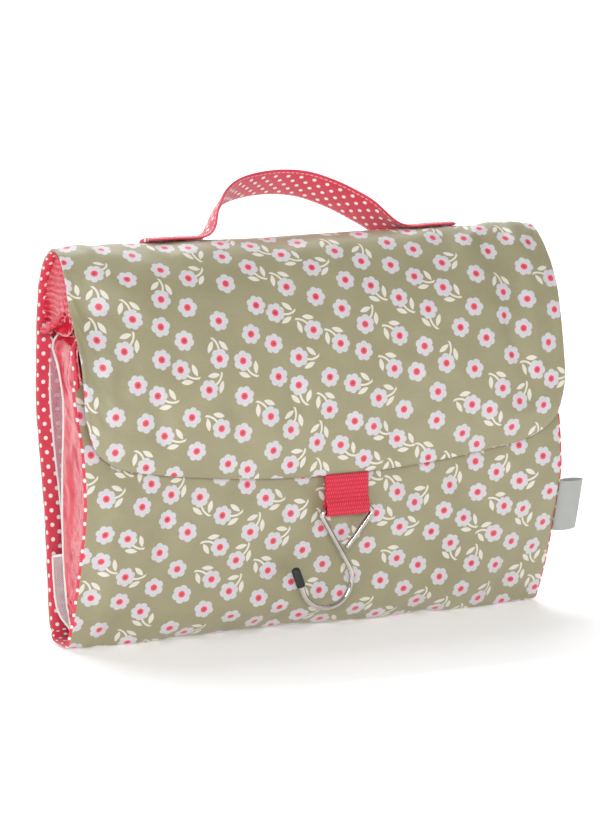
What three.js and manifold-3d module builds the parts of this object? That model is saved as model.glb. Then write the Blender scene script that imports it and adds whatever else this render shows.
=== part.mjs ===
// Hanging toiletry bag, folded shut and standing on its base.
// A long padded strip folds into a base, a back, a ridge and a flap, and the front section folds up under the
// flap. Clear and vinyl pockets are sewn inside, a strap handle sits behind the ridge, and a wire hook hangs
// from a webbing loop on the flap.
//
// Millimetres, +Z up, -Y the front, +X to the right as seen from the front. The origin is on the resting face
// of the base, at mid-width, straight below the ridge.
import * as THREE from "three";
import { mergeVertices } from "three/addons/utils/BufferGeometryUtils.js";
import Module from "manifold-3d";

const wasm = await Module();
wasm.setup();

// ---------------------------------------------------------------- driving dimensions

const WIDTH = 265; // the bag, edge to edge
const HALF = WIDTH / 2;
const GAP = 0.3; // between pieces that lie on each other
const COVER = 0.8; // coated cotton
const BOARD = 1.0; // stiffener
const LINING = 0.6;
const PANEL = COVER + GAP + BOARD + GAP + LINING; // a whole padded panel
const FILM = 0.6; // clear and coloured vinyl
const MESH = 0.6;
const TAPE = 0.6; // zip tape

const HOOK_X = 7.5; // the webbing and the hook sit a little right of the middle
const WEBBING_WIDTH = 24;
const WEBBING = 1; // one layer
const WEBBING_Y = -39.3;
const WEBBING_TOP = 81.2;
const WIRE_RADIUS = 1.4;
const HOOK_BAR_Z = 64.2; // height of the bar inside the webbing loop

const HANDLE_X = 3;
const HANDLE_HALF_SPAN = 55; // middle of the bag to where a leg leaves its tab
const HANDLE_RISE = 30;
const HANDLE_WIDTH = 22;
const HANDLE_LEAN = THREE.MathUtils.degToRad(38); // back from upright
const STRAP = 1.6;
const TAB_LENGTH = 32;

// ---------------------------------------------------------------- outlines seen from the side, as [y, z]

// The outside of the main strip: base, up the back, over the ridge, down the flap.
const STRIP_POINTS = [
  [-12, 0], [-3, 0], [6, 0], [10.8, 4.5], [13, 14], [15, 34], [17, 58], [20.5, 82], [25, 103],
  [27, 120], [26.5, 138], [25, 160], [21.5, 180], [15, 191.5], [7.5, 197.8], [0, 200], [-9.5, 196.3],
  [-18, 188], [-25, 178], [-31, 165], [-35.5, 152], [-39, 136], [-40.8, 122], [-41.3, 108], [-41, 95],
  [-40.5, 82],
];
// The outside of the front section, from its top edge down to the base.
const FRONT_POINTS = [
  [-29.5, 136], [-32.3, 120], [-34.3, 104], [-35.2, 88], [-35, 74], [-32, 55], [-27, 36], [-21, 19], [-13.8, 3.2],
];
// The open side of the front pocket, from its lower seam up to its upper seam.
const FRONT_POCKET_POINTS = [
  [-13.5, 15], [-7, 28], [-3, 45], [-1, 70], [-0.5, 95], [-3, 112], [-9.5, 124.5], [-24, 131],
];
// The open side of the back pocket, from its upper seam down to its lower seam.
const BACK_POCKET_POINTS = [
  [22, 142], [14, 135.5], [8, 124], [4, 108], [2, 92], [1.5, 75], [4, 61], [11.5, 53.5],
];
// The mesh pocket, from its open edge down to its lower seam.
const MESH_POCKET_POINTS = [[0.5, 46], [0.5, 32], [2, 18], [7, 8.5]];
// The pouch under the ridge, from its elastic edge round to its seam on the back lining.
const POUCH_POINTS = [
  [-18.5, 177.5], [-21.5, 169], [-18, 160], [-7.5, 155], [6, 155.5], [14.5, 158], [20.5, 161],
];

const curveOf = (points) => new THREE.SplineCurve(points.map(([y, z]) => new THREE.Vector2(y, z)));
const strip = curveOf(STRIP_POINTS);
const front = curveOf(FRONT_POINTS);
const frontPocket = curveOf(FRONT_POCKET_POINTS);
const backPocket = curveOf(BACK_POCKET_POINTS);
const meshPocket = curveOf(MESH_POCKET_POINTS);
const pouch = curveOf(POUCH_POINTS);

// Where the panels start and end, counted in points along their outline.
const BASE = [0, 3.9];
const BACK = [4, 12];
const RIDGE = [12.1, 16.93];
const FLAP = [17.05, 25];
const FRONT = [0, 8];

// ---------------------------------------------------------------- looks

const finish = (color, roughness = 0.6, metalness = 0) =>
  new THREE.MeshStandardMaterial({ color, roughness, metalness });
const clear = (color) =>
  new THREE.MeshStandardMaterial({ color, roughness: 0.15, transparent: true, opacity: 0.35 });
const oilcloth = finish(0xa8a079, 0.35);
const boardGrey = finish(0x8a8a86, 0.8);
const dotted = finish(0xd8485c, 0.5);
const vinyl = finish(0xe0566a, 0.25);
const film = clear(0xe8e2e6);
const netting = finish(0xb0a4a6, 0.8);
const tapePink = finish(0xd9475e, 0.7);
const webbingPink = finish(0xe0385a, 0.75);
const steel = finish(0xc8c6c0, 0.2, 1);
const rubber = finish(0x2a2d2e, 0.6);
const ribbonGrey = finish(0xbcbdb7, 0.6);
const white = finish(0xece9e4, 0.7);

// ---------------------------------------------------------------- shape helpers

const bag = new THREE.Group();

function add(name, geometry, material, parent = bag) {
  const mesh = new THREE.Mesh(geometry, material);
  mesh.name = name;
  parent.add(mesh);
  return mesh;
}

// Points along part of an outline, moved inwards by depth (or outwards where depth is negative).
function along(curve, [from, to], depth, count = 24) {
  const last = curve.points.length - 1;
  const points = [];
  for (let i = 0; i <= count; i++) {
    const t = THREE.MathUtils.clamp((from + ((to - from) * i) / count) / last, 0, 1);
    const at = curve.getPoint(t);
    const way = curve.getTangent(t);
    const height = Math.max(at.y, 0); // the base lies flat
    points.push(new THREE.Vector2(at.x - way.y * depth, height + way.x * depth));
  }
  return points;
}

// A closed outline in the side view, swept from x0 to x1.
const SIDE_VIEW = new THREE.Matrix4().makeBasis(
  new THREE.Vector3(0, 1, 0),
  new THREE.Vector3(0, 0, 1),
  new THREE.Vector3(1, 0, 0),
);
function sweep(outline, x0, x1) {
  const geometry = new THREE.ExtrudeGeometry(new THREE.Shape(outline), { depth: x1 - x0, bevelEnabled: false });
  return geometry.applyMatrix4(SIDE_VIEW).translate(x0, 0, 0);
}

// A sheet that follows an outline, between two depths and two x positions.
function sheet(curve, range, [outer, inner], [x0, x1], count = 24) {
  const outline = [...along(curve, range, outer, count), ...along(curve, range, inner, count).reverse()];
  return sweep(outline, x0, x1);
}

function solidOf(geometry) {
  const bare = new THREE.BufferGeometry().setAttribute("position", geometry.getAttribute("position"));
  if (geometry.index) bare.setIndex(geometry.index);
  const merged = mergeVertices(bare, 1e-4);
  return new wasm.Manifold(
    new wasm.Mesh({
      numProp: 3,
      vertProperties: new Float32Array(merged.getAttribute("position").array),
      triVerts: new Uint32Array(merged.index.array),
    }),
  );
}

function geometryOf(solid) {
  const mesh = solid.getMesh();
  return new THREE.BufferGeometry()
    .setAttribute("position", new THREE.BufferAttribute(new Float32Array(mesh.vertProperties), 3))
    .setIndex(new THREE.BufferAttribute(new Uint32Array(mesh.triVerts), 1));
}

const common = (a, b) => geometryOf(solidOf(a).intersect(solidOf(b)));

const across = (inset) => [-HALF + inset, HALF - inset];

// ---------------------------------------------------------------- padded panels

// Cover, board and lining of one panel; the board stops short of the seams.
function panel(name, curve, range, count) {
  const board = [range[0] + 0.12, range[1] - 0.12];
  const layers = [
    ["cover", range, 0, COVER, 0, oilcloth],
    ["board", board, COVER + GAP, COVER + GAP + BOARD, 5, boardGrey],
    ["lining", range, PANEL - LINING, PANEL, 0.8, dotted],
  ];
  for (const [layer, span, outer, inner, inset, material] of layers) {
    add(`${name}_${layer}`, sheet(curve, span, [outer, inner], across(inset), count), material);
  }
}

panel("base", strip, BASE, 14);
panel("back", strip, BACK, 26);
panel("front", front, FRONT, 26);

add("ridge_cover", sheet(strip, RIDGE, [0, COVER], across(0), 16), oilcloth);
add("ridge_lining", sheet(strip, RIDGE, [PANEL - LINING, PANEL], across(0.8), 16), dotted);

// ---------------------------------------------------------------- flap with its rounded lower corners

const FLAP_CORNER_Z = 118; // where each side edge starts to turn
const FLAP_SIDE_Z = 91; // where the turn meets the shallow lower edge
const FLAP_LOW_Z = 83;

function flapOutline(inset) {
  const w = HALF - inset;
  const turn = w - 24;
  const outline = new THREE.Shape();
  outline.moveTo(-w, 210);
  outline.lineTo(-w, FLAP_CORNER_Z);
  outline.quadraticCurveTo(-w, FLAP_SIDE_Z + 4.5 + inset, -turn, FLAP_SIDE_Z + inset);
  outline.quadraticCurveTo(0, 2 * FLAP_LOW_Z - FLAP_SIDE_Z + inset, turn, FLAP_SIDE_Z + inset);
  outline.quadraticCurveTo(w, FLAP_SIDE_Z + 4.5 + inset, w, FLAP_CORNER_Z);
  outline.lineTo(w, 210);
  return outline;
}

function flapLayer(name, range, depths, inset, material) {
  const cutter = new THREE.ExtrudeGeometry(flapOutline(inset), { depth: 80, bevelEnabled: false, curveSegments: 8 });
  cutter.rotateX(Math.PI / 2); // the outline's height becomes z, and its depth runs towards -y
  add(name, common(sheet(strip, range, depths, across(0), 26), cutter), material);
}

flapLayer("flap_cover", FLAP, [0, COVER], 0, oilcloth);
flapLayer("flap_board", [17.3, 25], [COVER + GAP, COVER + GAP + BOARD], 6, boardGrey);
flapLayer("flap_lining", FLAP, [PANEL - LINING, PANEL], 0.8, dotted);

// Hook-and-loop fastener: one half inside the flap, the other on the front section.
const PATCH = 0.7;
const PATCH_HALF_WIDTH = 22;
const patchAcross = [HOOK_X - PATCH_HALF_WIDTH, HOOK_X + PATCH_HALF_WIDTH];
add("flap_fastener_patch", sheet(strip, [23.05, 24.05], [PANEL + GAP, PANEL + GAP + PATCH], patchAcross, 5), white);
add("front_fastener_patch", sheet(front, [1.85, 2.7], [-GAP - PATCH, -GAP], patchAcross, 5), white);

// ---------------------------------------------------------------- pockets

// One crescent-shaped side of a pocket, between the panel that it is sewn to and the pocket's open side.
function pocketSide(name, outline, inset, thickness, material) {
  add(`${name}_left`, sweep(outline, -HALF + inset, -HALF + inset + thickness), material);
  add(`${name}_right`, sweep(outline, HALF - inset - thickness, HALF - inset), material);
}

const insideOf = (curve, range, count) => along(curve, range, PANEL + GAP, count);

// A zip lies on the outside of a pocket: two tapes with the chain between them, and its slider and pull tab.
const CHAIN_THICKNESS = 1.3;
const SLIDER = { length: 9, width: 8, thickness: 2.2 };
const PULL = { length: 22, width: 5, thickness: 0.8, bar: 0.8 };

function zip(name, curve, at, halfTape, halfChain, inset, sliderX, facing) {
  const outside = [-GAP - TAPE, -GAP];
  const span = across(inset);
  const slit = halfChain + 0.02;
  add(`${name}_zip_tape_near`, sheet(curve, [at - halfTape, at - slit], outside, span, 5), tapePink);
  add(`${name}_zip_tape_far`, sheet(curve, [at + slit, at + halfTape], outside, span, 5), tapePink);
  const chain = [-GAP - CHAIN_THICKNESS, -GAP];
  add(`${name}_zip_chain`, sheet(curve, [at - halfChain, at + halfChain], chain, span, 3), white);

  // The slider's own axes: x along the zip towards the pull's free end, y across the tape, z away from it.
  const t = at / (curve.points.length - 1);
  const place = curve.getPoint(t);
  const way = curve.getTangent(t);
  const rider = new THREE.Group();
  const basis = new THREE.Matrix4().makeBasis(
    new THREE.Vector3(facing, 0, 0),
    new THREE.Vector3(0, -way.x * facing, -way.y * facing),
    new THREE.Vector3(0, way.y, -way.x),
  );
  rider.applyMatrix4(basis);
  rider.position.set(sliderX, place.x, place.y);
  bag.add(rider);

  const low = GAP + CHAIN_THICKNESS + GAP;
  const body = new THREE.BoxGeometry(SLIDER.length, SLIDER.width, 1.1).translate(0, 0, low + 0.55);
  const bridge = new THREE.TorusGeometry(1.9, 0.5, 6, 16).rotateX(Math.PI / 2).translate(0, 0, low + 1.0);
  const solid = solidOf(body).add(solidOf(bridge));
  const floor = new THREE.BoxGeometry(20, 20, 4).translate(0, 0, low - 2.001);
  add(`${name}_zip_slider`, geometryOf(solid.subtract(solidOf(floor))), steel, rider);

  const tab = new THREE.Shape();
  const r = PULL.width / 2;
  tab.moveTo(-PULL.bar / 2, -r);
  tab.lineTo(PULL.length - r, -r);
  tab.absarc(PULL.length - r, 0, r, -Math.PI / 2, Math.PI / 2);
  tab.lineTo(-PULL.bar / 2, r);
  tab.holes.push(new THREE.Path().absellipse(PULL.bar / 2 + 1.2, 0, 1.2, 1.5, 0, Math.PI * 2, true));
  const pull = new THREE.ExtrudeGeometry(tab, { depth: PULL.thickness, bevelEnabled: false, curveSegments: 5 });
  pull.translate(0, 0, low + 1.1 + GAP);
  add(`${name}_zip_pull`, pull, tapePink, rider);
}

// Front pocket: deep, with coloured vinyl sides, a clear front and a zip across its top.
const FRONT_POCKET_INSET = 5;
const FRONT_ZIP_AT = 6.05;
add(
  "front_pocket_window",
  sheet(frontPocket, [0, 5.75], [0, FILM], across(FRONT_POCKET_INSET), 22),
  film,
);
add(
  "front_pocket_header",
  sheet(frontPocket, [6.35, 7], [0, FILM], across(FRONT_POCKET_INSET), 8),
  vinyl,
);
pocketSide(
  "front_pocket_side",
  [...insideOf(front, [0.42, 7.3], 18), ...along(frontPocket, [0.15, 6.85], FILM + GAP, 18)],
  FRONT_POCKET_INSET,
  FILM,
  vinyl,
);
zip("front", frontPocket, FRONT_ZIP_AT, 0.62, 0.17, 8, -HALF + 20, 1);

// Back pocket: shallow and clear, with a zip across its top.
const BACK_POCKET_INSET = 7;
const BACK_ZIP_AT = 1.35;
add(
  "back_pocket_window",
  sheet(backPocket, [1.65, 7], [0, FILM], across(BACK_POCKET_INSET), 20),
  film,
);
add(
  "back_pocket_header",
  sheet(backPocket, [0, 1.05], [0, FILM], across(BACK_POCKET_INSET), 6),
  vinyl,
);
pocketSide(
  "back_pocket_side",
  [...insideOf(strip, [6.0, 10.05], 14), ...along(backPocket, [0.25, 6.75], FILM + GAP, 18)],
  BACK_POCKET_INSET,
  FILM,
  film,
);
zip("back", backPocket, BACK_ZIP_AT, 0.62, 0.17, 11, HALF - 20, -1);

// Mesh pocket: open at its upper edge, which a narrow binding finishes.
const MESH_INSET = 4;
const BINDING_RANGE = [0.02, 0.3];
add("mesh_pocket_front", sheet(meshPocket, [0, 3], [0, MESH], across(MESH_INSET), 10), netting);
add(
  "mesh_pocket_binding",
  sheet(meshPocket, BINDING_RANGE, [-GAP - TAPE, -GAP], across(MESH_INSET), 3),
  white,
);
pocketSide(
  "mesh_pocket_side",
  [...insideOf(strip, [3.75, 5.5], 8), ...along(meshPocket, [0, 2.8], MESH + GAP, 8)],
  MESH_INSET,
  MESH,
  netting,
);

// Pouch under the ridge: gathered vinyl with an elastic edge, open to the front.
const POUCH_INSET = 5;
add("pouch_sheet", sheet(pouch, [0, 6], [0, FILM], across(POUCH_INSET), 18), vinyl);
add("pouch_elastic", sheet(pouch, [0.02, 0.35], [FILM + GAP, FILM + GAP + 1.2], across(POUCH_INSET + 1), 3), white);
pocketSide(
  "pouch_side",
  [...insideOf(strip, [11.2, 15.6], 14), ...along(pouch, [0.45, 5.35], FILM + GAP, 14)],
  POUCH_INSET,
  FILM,
  vinyl,
);

// ---------------------------------------------------------------- label in the right-hand seam

const LABEL = { length: 14.5, height: 27, half: 1.2, ribbon: 0.5 };
function labelLoop() {
  const { length, half, ribbon } = LABEL;
  const outline = new THREE.Shape();
  const reach = length - half;
  outline.moveTo(0, -half);
  outline.lineTo(reach, -half);
  outline.absarc(reach, 0, half, -Math.PI / 2, Math.PI / 2);
  outline.lineTo(0, half);
  outline.lineTo(0, half - ribbon);
  outline.lineTo(reach, half - ribbon);
  outline.absarc(reach, 0, half - ribbon, Math.PI / 2, -Math.PI / 2, true);
  outline.lineTo(0, -half + ribbon);
  return new THREE.ExtrudeGeometry(outline, { depth: LABEL.height, bevelEnabled: false, curveSegments: 6 });
}
const labelWay = new THREE.Vector3(0, -7.2, 26).normalize(); // up along the front section's edge
const label = add("label_loop", labelLoop(), ribbonGrey);
label.applyMatrix4(
  new THREE.Matrix4().makeBasis(
    new THREE.Vector3(1, 0, 0),
    new THREE.Vector3().crossVectors(labelWay, new THREE.Vector3(1, 0, 0)),
    labelWay,
  ),
);
label.position.set(HALF + GAP, -26.6, 42);

// ---------------------------------------------------------------- handle behind the ridge

const TAB_RANGE = [13.05, 14.95]; // down the back slope of the ridge
for (const [side, sign] of [["left", -1], ["right", 1]]) {
  const ends = [HANDLE_X + sign * HANDLE_HALF_SPAN, HANDLE_X + sign * (HANDLE_HALF_SPAN + TAB_LENGTH)];
  const tab = sheet(strip, TAB_RANGE, [-GAP - STRAP, -GAP], ends.sort((a, b) => a - b), 8);
  add(`handle_tab_${side}`, tab, dotted);
}

// The strap's arch in its own plane: x across the bag and y up from the tabs.
function archPoint(share, lift) {
  const x = THREE.MathUtils.lerp(-HANDLE_HALF_SPAN + 1, HANDLE_HALF_SPAN - 1, share);
  const height = HANDLE_RISE * Math.pow(Math.sin(Math.PI * share), 0.8);
  const before = Math.max(share - 0.01, 0);
  const after = Math.min(share + 0.01, 1);
  const rise = HANDLE_RISE * (Math.pow(Math.sin(Math.PI * after), 0.8) - Math.pow(Math.sin(Math.PI * before), 0.8));
  const run = 2 * (HANDLE_HALF_SPAN - 1) * (after - before);
  const length = Math.hypot(rise, run);
  return new THREE.Vector2(x - (rise / length) * lift, height + (run / length) * lift);
}
const ARCH_STEPS = 28;
const arch = (lift) => Array.from({ length: ARCH_STEPS + 1 }, (_, i) => archPoint(i / ARCH_STEPS, lift));
const strap = new THREE.ExtrudeGeometry(new THREE.Shape([...arch(-STRAP / 2), ...arch(STRAP / 2).reverse()]), {
  depth: HANDLE_WIDTH,
  bevelEnabled: false,
}).translate(0, 0, -HANDLE_WIDTH / 2);

// Each end narrows to the line that the strap folds about, so that it can lean without cutting into its tab.
const HANDLE_FOOT = 1.6; // clear height over the folding line
const narrowing = new THREE.Shape();
const halfWidth = HANDLE_WIDTH / 2 + 1;
narrowing.moveTo(-halfWidth, halfWidth + HANDLE_FOOT);
narrowing.lineTo(-1.5, HANDLE_FOOT);
narrowing.lineTo(1.5, HANDLE_FOOT);
narrowing.lineTo(halfWidth, halfWidth + HANDLE_FOOT);
narrowing.lineTo(halfWidth, HANDLE_RISE + 10);
narrowing.lineTo(-halfWidth, HANDLE_RISE + 10);
const keep = new THREE.ExtrudeGeometry(narrowing, { depth: WIDTH, bevelEnabled: false })
  .rotateY(-Math.PI / 2)
  .translate(HALF, 0, 0);
const handle = add("handle_strap", common(strap, keep), dotted);
handle.rotation.x = Math.PI / 2 - HANDLE_LEAN;
handle.position.set(HANDLE_X, 8.9, 197.6);

// ---------------------------------------------------------------- webbing loop and hook

// The webbing hangs from the flap's edge and folds round the hook's bar: seen from the side, a long eye.
const eye = WIRE_RADIUS + 0.3; // room round the bar
const outerEye = eye + WEBBING;
const loop = new THREE.Shape();
const NECK = HOOK_BAR_Z + 10; // the two layers meet above this
loop.moveTo(WEBBING_Y - WEBBING - 0.15, WEBBING_TOP);
loop.lineTo(WEBBING_Y - WEBBING - 0.15, NECK);
loop.lineTo(WEBBING_Y - outerEye, HOOK_BAR_Z + 1);
loop.absarc(WEBBING_Y, HOOK_BAR_Z, outerEye, Math.PI, 2 * Math.PI);
loop.lineTo(WEBBING_Y + outerEye, HOOK_BAR_Z + 1);
loop.lineTo(WEBBING_Y + WEBBING + 0.15, NECK);
loop.lineTo(WEBBING_Y + WEBBING + 0.15, WEBBING_TOP);
const hole = new THREE.Path();
hole.moveTo(WEBBING_Y, NECK - 1.5);
hole.lineTo(WEBBING_Y + eye, HOOK_BAR_Z + 1);
hole.absarc(WEBBING_Y, HOOK_BAR_Z, eye, 0, -Math.PI, true);
hole.lineTo(WEBBING_Y - eye, HOOK_BAR_Z + 1);
hole.lineTo(WEBBING_Y, NECK - 1.5);
loop.holes.push(hole);
const webbing = new THREE.ExtrudeGeometry(loop, { depth: WEBBING_WIDTH, bevelEnabled: false, curveSegments: 10 });
webbing.applyMatrix4(SIDE_VIEW).translate(HOOK_X - WEBBING_WIDTH / 2, 0, 0);
add("webbing_loop", webbing, webbingPink);

// The hook is one bent wire: free end, slanting leg, bar, second leg, and the bend that hooks over a rail.
const BEND = { x: -3.6, z: 29, radius: 14, start: 30, end: -160 }; // angles in degrees, from +X
const FREE_END = new THREE.Vector2(7.4, 44.6);
const RIGHT_CORNER = new THREE.Vector2(24, HOOK_BAR_Z);
const CORNER_RADIUS = 2;
const TIP_LENGTH = 11; // straight stretch after the bend, mostly inside the cap

const heading = (degrees) => new THREE.Vector2(1, 0).rotateAround(new THREE.Vector2(), THREE.MathUtils.degToRad(degrees));
const onBend = (degrees) => heading(degrees).multiplyScalar(BEND.radius).add(new THREE.Vector2(BEND.x, BEND.z));

// Points round a corner, from where the bend leaves one straight stretch to where it meets the next.
function roundCorner(before, corner, after, radius, steps) {
  const back = before.clone().sub(corner).normalize();
  const on = after.clone().sub(corner).normalize();
  const half = Math.acos(back.dot(on)) / 2;
  const middle = back.clone().add(on).normalize().multiplyScalar(radius / Math.sin(half)).add(corner);
  const start = back.multiplyScalar(radius / Math.tan(half)).add(corner).sub(middle);
  const turn = (Math.PI - 2 * half) * Math.sign(on.cross(start));
  return Array.from({ length: steps + 1 }, (_, i) =>
    start.clone().rotateAround(new THREE.Vector2(), (turn * i) / steps).add(middle),
  );
}

function straight(from, to, steps) {
  return Array.from({ length: steps - 1 }, (_, i) => from.clone().lerp(to, (i + 1) / steps));
}

const legFoot = onBend(BEND.start);
const legWay = heading(BEND.start + 90);
const leftCorner = legWay.clone().multiplyScalar((HOOK_BAR_Z - legFoot.y) / legWay.y).add(legFoot);
const tipFoot = onBend(BEND.end);
const tipWay = heading(BEND.end - 90);
const hookTip = tipWay.clone().multiplyScalar(TIP_LENGTH).add(tipFoot);

const rightBend = roundCorner(FREE_END, RIGHT_CORNER, leftCorner, CORNER_RADIUS, 6);
const leftBend = roundCorner(RIGHT_CORNER, leftCorner, legFoot, CORNER_RADIUS, 6);
const bend = Array.from({ length: 25 }, (_, i) => onBend(THREE.MathUtils.lerp(BEND.start, BEND.end, i / 24)));
const hookPoints = [
  FREE_END,
  ...straight(FREE_END, rightBend[0], 8),
  ...rightBend,
  ...straight(rightBend[6], leftBend[0], 10),
  ...leftBend,
  ...straight(leftBend[6], legFoot, 10),
  ...bend,
  ...straight(tipFoot, hookTip, 5),
  hookTip,
];
const hookLine = new THREE.CatmullRomCurve3(
  hookPoints.map((point) => new THREE.Vector3(point.x, WEBBING_Y, point.y)),
  false,
  "centripetal",
);
const WIRE_SIDES = 10;
const wireSection = new THREE.Shape(
  Array.from({ length: WIRE_SIDES }, (_, i) => heading((i * 360) / WIRE_SIDES).multiplyScalar(WIRE_RADIUS)),
);
add("hook_wire", new THREE.ExtrudeGeometry(wireSection, { steps: 150, extrudePath: hookLine }), steel);

// The cap slips over the wire's end.
const CAP = { length: 10.4, radius: 2.3, cover: 8 };
const bore = WIRE_RADIUS + 0.35;
const capProfile = [
  [bore, 0], [CAP.radius - 0.2, 0], [CAP.radius, 0.6], [CAP.radius, CAP.length - 2.2],
  [CAP.radius * 0.8, CAP.length - 0.8], [CAP.radius * 0.4, CAP.length - 0.1], [0, CAP.length],
  [0, CAP.cover + 0.4], [bore, CAP.cover + 0.4], [bore, 0],
].map(([r, h]) => new THREE.Vector2(r, h));
const cap = add("hook_cap", new THREE.LatheGeometry(capProfile, 14), rubber);
cap.quaternion.setFromUnitVectors(new THREE.Vector3(0, 1, 0), new THREE.Vector3(tipWay.x, 0, tipWay.y));
cap.position.set(hookTip.x - tipWay.x * CAP.cover, WEBBING_Y, hookTip.y - tipWay.y * CAP.cover);

export default bag;
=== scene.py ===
"""The looks of a hanging toiletry bag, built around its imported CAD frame.

Shapes are in millimetres until they become meshes. -Y is the front and +Z is up."""
import math

import bpy
import numpy as np
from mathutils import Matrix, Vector, noise


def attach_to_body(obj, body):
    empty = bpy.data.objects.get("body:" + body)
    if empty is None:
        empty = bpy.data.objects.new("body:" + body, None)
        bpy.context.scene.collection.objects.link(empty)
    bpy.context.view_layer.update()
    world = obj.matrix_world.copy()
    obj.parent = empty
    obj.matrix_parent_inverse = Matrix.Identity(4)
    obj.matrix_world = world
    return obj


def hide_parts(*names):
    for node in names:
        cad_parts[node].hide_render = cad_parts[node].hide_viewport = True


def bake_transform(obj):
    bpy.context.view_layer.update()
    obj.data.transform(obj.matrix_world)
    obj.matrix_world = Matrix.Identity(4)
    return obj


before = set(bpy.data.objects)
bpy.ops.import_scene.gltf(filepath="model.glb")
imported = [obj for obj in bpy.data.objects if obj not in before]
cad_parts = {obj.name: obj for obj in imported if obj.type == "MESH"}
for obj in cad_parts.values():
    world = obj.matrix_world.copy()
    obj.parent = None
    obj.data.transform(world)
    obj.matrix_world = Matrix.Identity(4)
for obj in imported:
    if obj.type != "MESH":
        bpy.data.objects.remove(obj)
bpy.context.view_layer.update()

MM = 0.001
ABOVE_FLOOR = 0.05  # the least height of a cloth point
HALF = 132.5  # half the bag's width
PANEL = 3.0  # a whole padded panel
HOOK_X = 7.5
WEBBING_Y = -39.3
BAR_Z = 64.2  # the hook's bar in the webbing
WIRE = 1.4
FLOWER_CELL = 16.0
DOT_PITCH = 7.2

# ---------------------------------------------------------------- outlines seen from the side, as (y, z)

STRIP = [
    (-12, 0), (-3, 0), (6, 0), (10.8, 4.5), (13, 14), (15, 34), (17, 58), (20.5, 82), (25, 103),
    (27, 120), (26.5, 138), (25, 160), (21.5, 180), (15, 191.5), (7.5, 197.8), (0, 200), (-9.5, 196.3),
    (-18, 188), (-25, 178), (-31, 165), (-35.5, 152), (-39, 136), (-40.8, 122), (-41.3, 108), (-41, 95),
    (-40.5, 82),
]
FRONT = [(-29.5, 136), (-32.3, 120), (-34.3, 104), (-35.2, 88), (-35, 74), (-32, 55), (-27, 36), (-21, 19),
         (-15, 6), (-11.2, 0.5), (-3, 0), (6, 0), (10.8, 4.5), (13, 14)]
FRONT_POCKET = [(-13.5, 15), (-7, 28), (-3, 45), (-1, 70), (-0.5, 95), (-3, 112), (-9.5, 124.5), (-24, 131)]
BACK_POCKET = [(22, 142), (14, 135.5), (8, 124), (4, 108), (2, 92), (1.5, 75), (4, 61), (11.5, 53.5)]
MESH_POCKET = [(0.5, 46), (0.5, 32), (2, 18), (7, 8.5)]
FRONT_POCKET_SIDE = [(-12, 8), (-6, 14), (-2, 22), (0, 32), (2, 48), (2.5, 68), (1.5, 92), (0, 108), (-0.5, 121),
                     (2, 131), (7, 140.5), (13, 148), (15, 154), (7, 158), (-4, 160), (-13, 159), (-19, 151),
                     (-22.5, 138)]
BACK_POCKET_SIDE = [(25, 153), (16, 149), (8, 142), (3, 133), (1, 122), (2.5, 107), (3, 92), (4, 75), (5.5, 61),
                    (8, 49)]
BACK_POCKET_SEAM = [(24, 152), (24.2, 125), (22, 110), (17.8, 91.5), (14.2, 79), (10.8, 65), (8, 49)]
MESH_SIDE = [(0.5, 46), (0, 32), (-0.5, 20), (-1.5, 12), (-4, 7.5)]
MESH_SEAM = [(12.6, 43), (11.3, 30), (8.8, 18), (4, 11), (-4, 7.5)]
EAR_EDGE = [(-24, 132), (-22.8, 138), (-19.5, 150), (-15, 159)]
STRAP = [(-87, 1), (-70, 1), (-57, 1), (-50, 4.5), (-42, 14), (-35.5, 22.5), (-27, 28), (-15, 31), (-1, 31.8),
         (13, 29.6), (27, 23), (39, 14.6), (50, 6), (59, 1), (72, 1), (87, 1)]
POUCH = [(-14, 177.5), (-17, 169), (-14.5, 160.5), (-6.5, 155.5), (6, 155.5), (14.5, 158), (20.5, 161)]


class Outline:
    """A smooth line in the side view. Depth is measured to the left of its direction, which is inwards."""

    def __init__(self, points):
        self.points = [Vector(p) for p in points]
        self.last = len(points) - 1
        self.steps = np.linspace(0, self.last, self.last * 24 + 1)
        spots = np.array([self.spot(t) for t in self.steps])
        gaps = np.linalg.norm(np.diff(spots, axis=0), axis=1)
        self.lengths = np.concatenate([[0], np.cumsum(gaps)])
        self.heights = spots[:, 1]
        self.total = float(self.lengths[-1])

    def _four(self, t):
        i = min(int(t), self.last - 1)
        pick = [max(i - 1, 0), i, i + 1, min(i + 2, self.last)]
        return [self.points[k] for k in pick], t - i

    def spot(self, t):
        (a, b, c, d), f = self._four(t)
        v0, v1 = (c - a) / 2, (d - b) / 2
        return (2 * b - 2 * c + v0 + v1) * f ** 3 + (-3 * b + 3 * c - 2 * v0 - v1) * f ** 2 + v0 * f + b

    def way(self, t):
        before, after = self.spot(max(t - 0.01, 0)), self.spot(min(t + 0.01, self.last))
        return (after - before).normalized()

    def length_at(self, t):
        return float(np.interp(t, self.steps, self.lengths))

    def length_at_height(self, z, from_t):
        """The length where the outline, falling after from_t, reaches height z."""
        keep = self.steps >= from_t
        return float(np.interp(-z, -self.heights[keep], self.lengths[keep]))

    def at(self, s, depth=0.0):
        """The point at length s, moved inwards by depth; past either end the line goes on straight."""
        inside = min(max(s, 0.0), self.total)
        t = float(np.interp(inside, self.lengths, self.steps))
        spot, way = self.spot(t), self.way(t)
        spot = Vector((spot.x, max(spot.y, 0)))
        return spot + way * (s - inside) + Vector((-way.y, way.x)) * depth


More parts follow.
